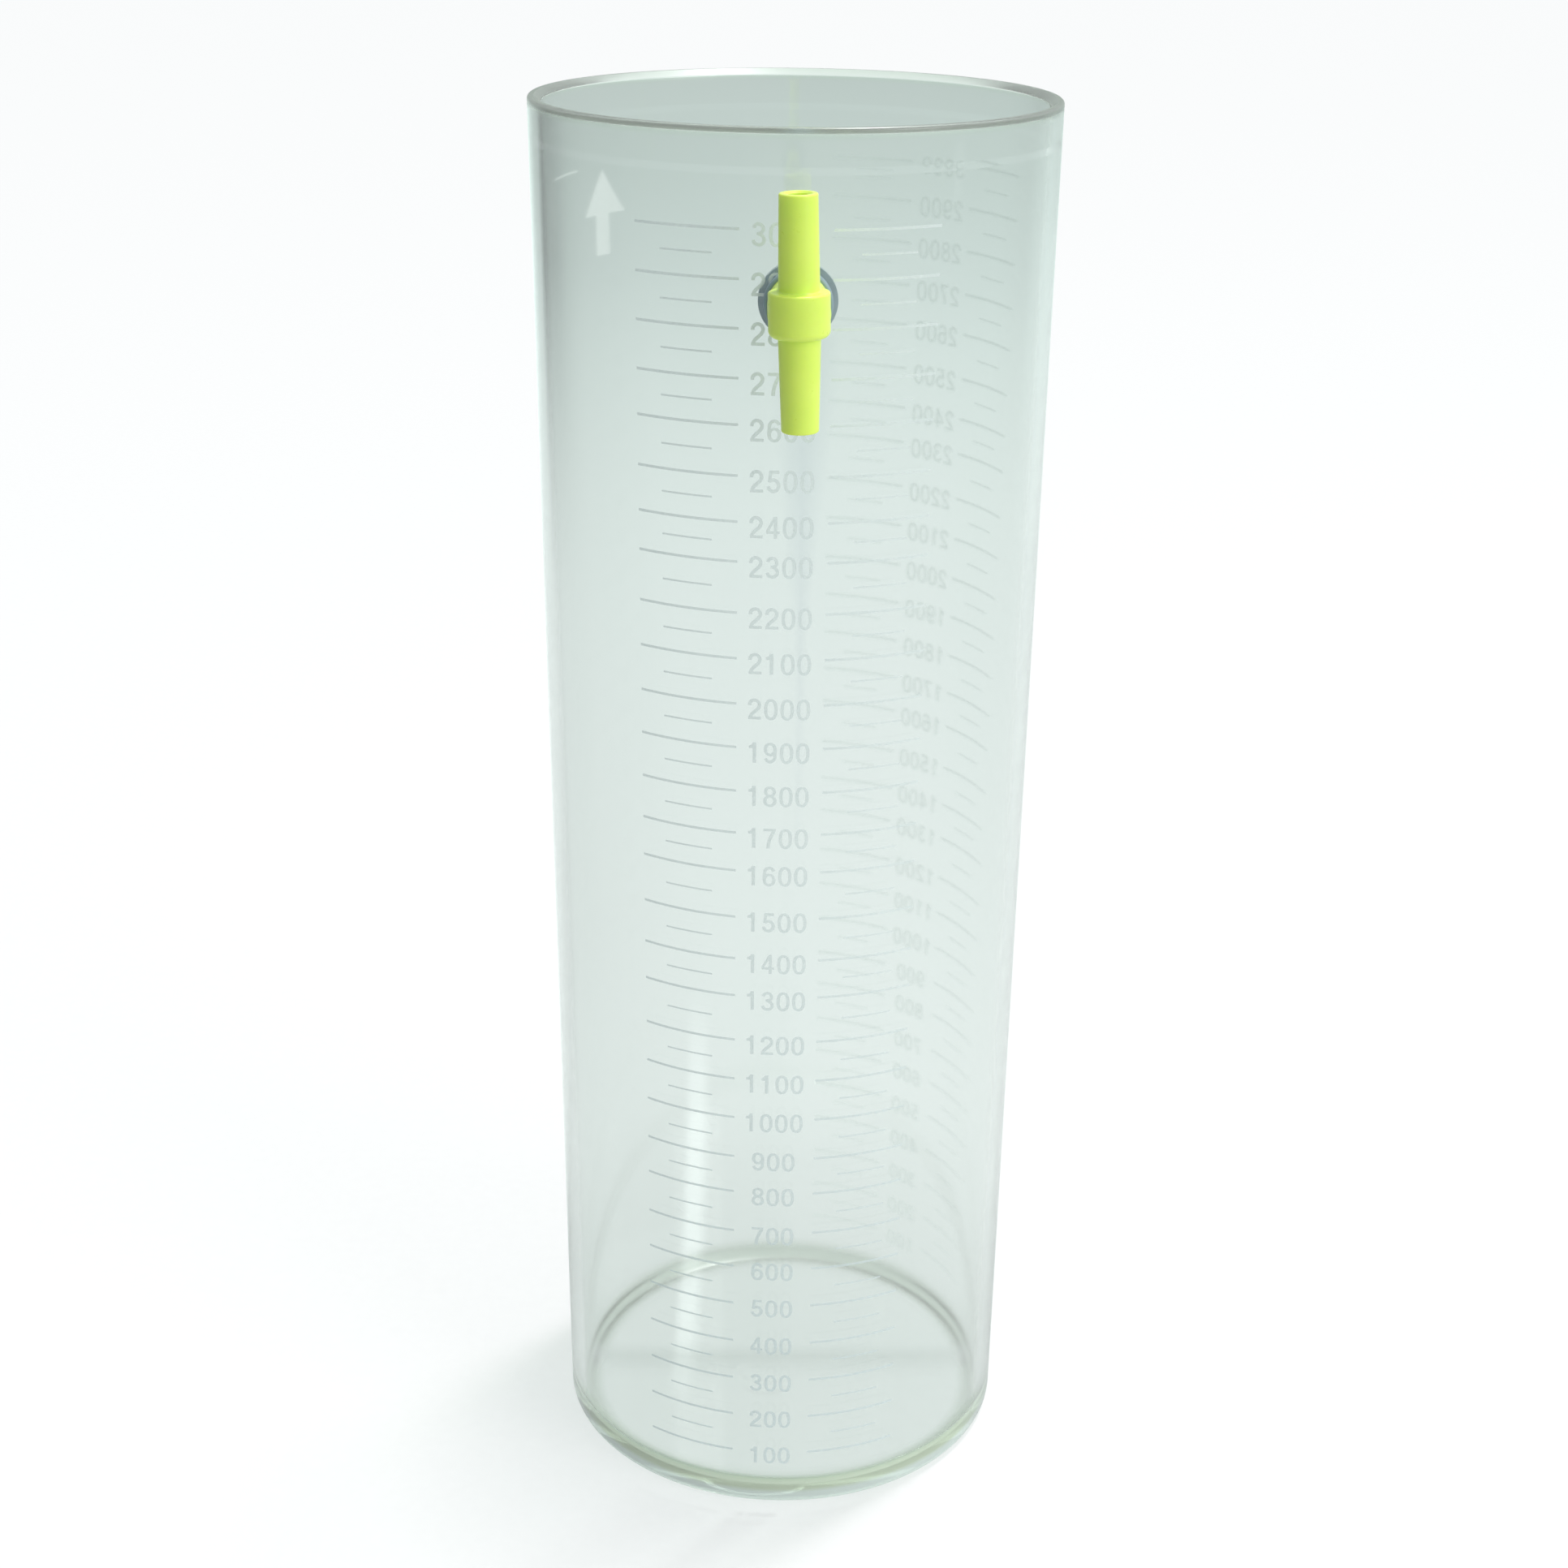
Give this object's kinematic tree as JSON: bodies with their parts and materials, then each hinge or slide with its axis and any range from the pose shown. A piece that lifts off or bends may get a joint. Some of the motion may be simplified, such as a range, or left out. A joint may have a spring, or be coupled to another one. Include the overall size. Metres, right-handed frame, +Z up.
{
  "type": "suction canister",
  "caption": "Clear rigid three litre suction canister, open at the top, graduated on its wall, with a yellow tee connector in a rubber grommet below the rim.",
  "frame": {"origin": "centre of the underside of the canister's base", "axes": "+Z up along the canister's axis, towards its open mouth; -Y from the axis towards the tee connector"},
  "size_m": [0.1198, 0.1377, 0.3415],
  "materials": {
    "clear_wall": "clear, glossy, with a faint grey-green tint",
    "grommet_rubber": "smooth dark blue-grey rubber",
    "yellow_plastic": "semi-gloss moulded"
  },
  "bodies": {
    "canister": {"canister": "clear_wall", "port_grommet": "grommet_rubber"},
    "tee": {"tee_connector": "yellow_plastic"}
  },
  "joints": [
    {"name": "tee_swivel", "type": "hinge", "parent": "canister", "child": "tee", "pos_m": [0, -0.0615, 0.3063], "axis": [0, -1, 0], "continuous": true}
  ]
}
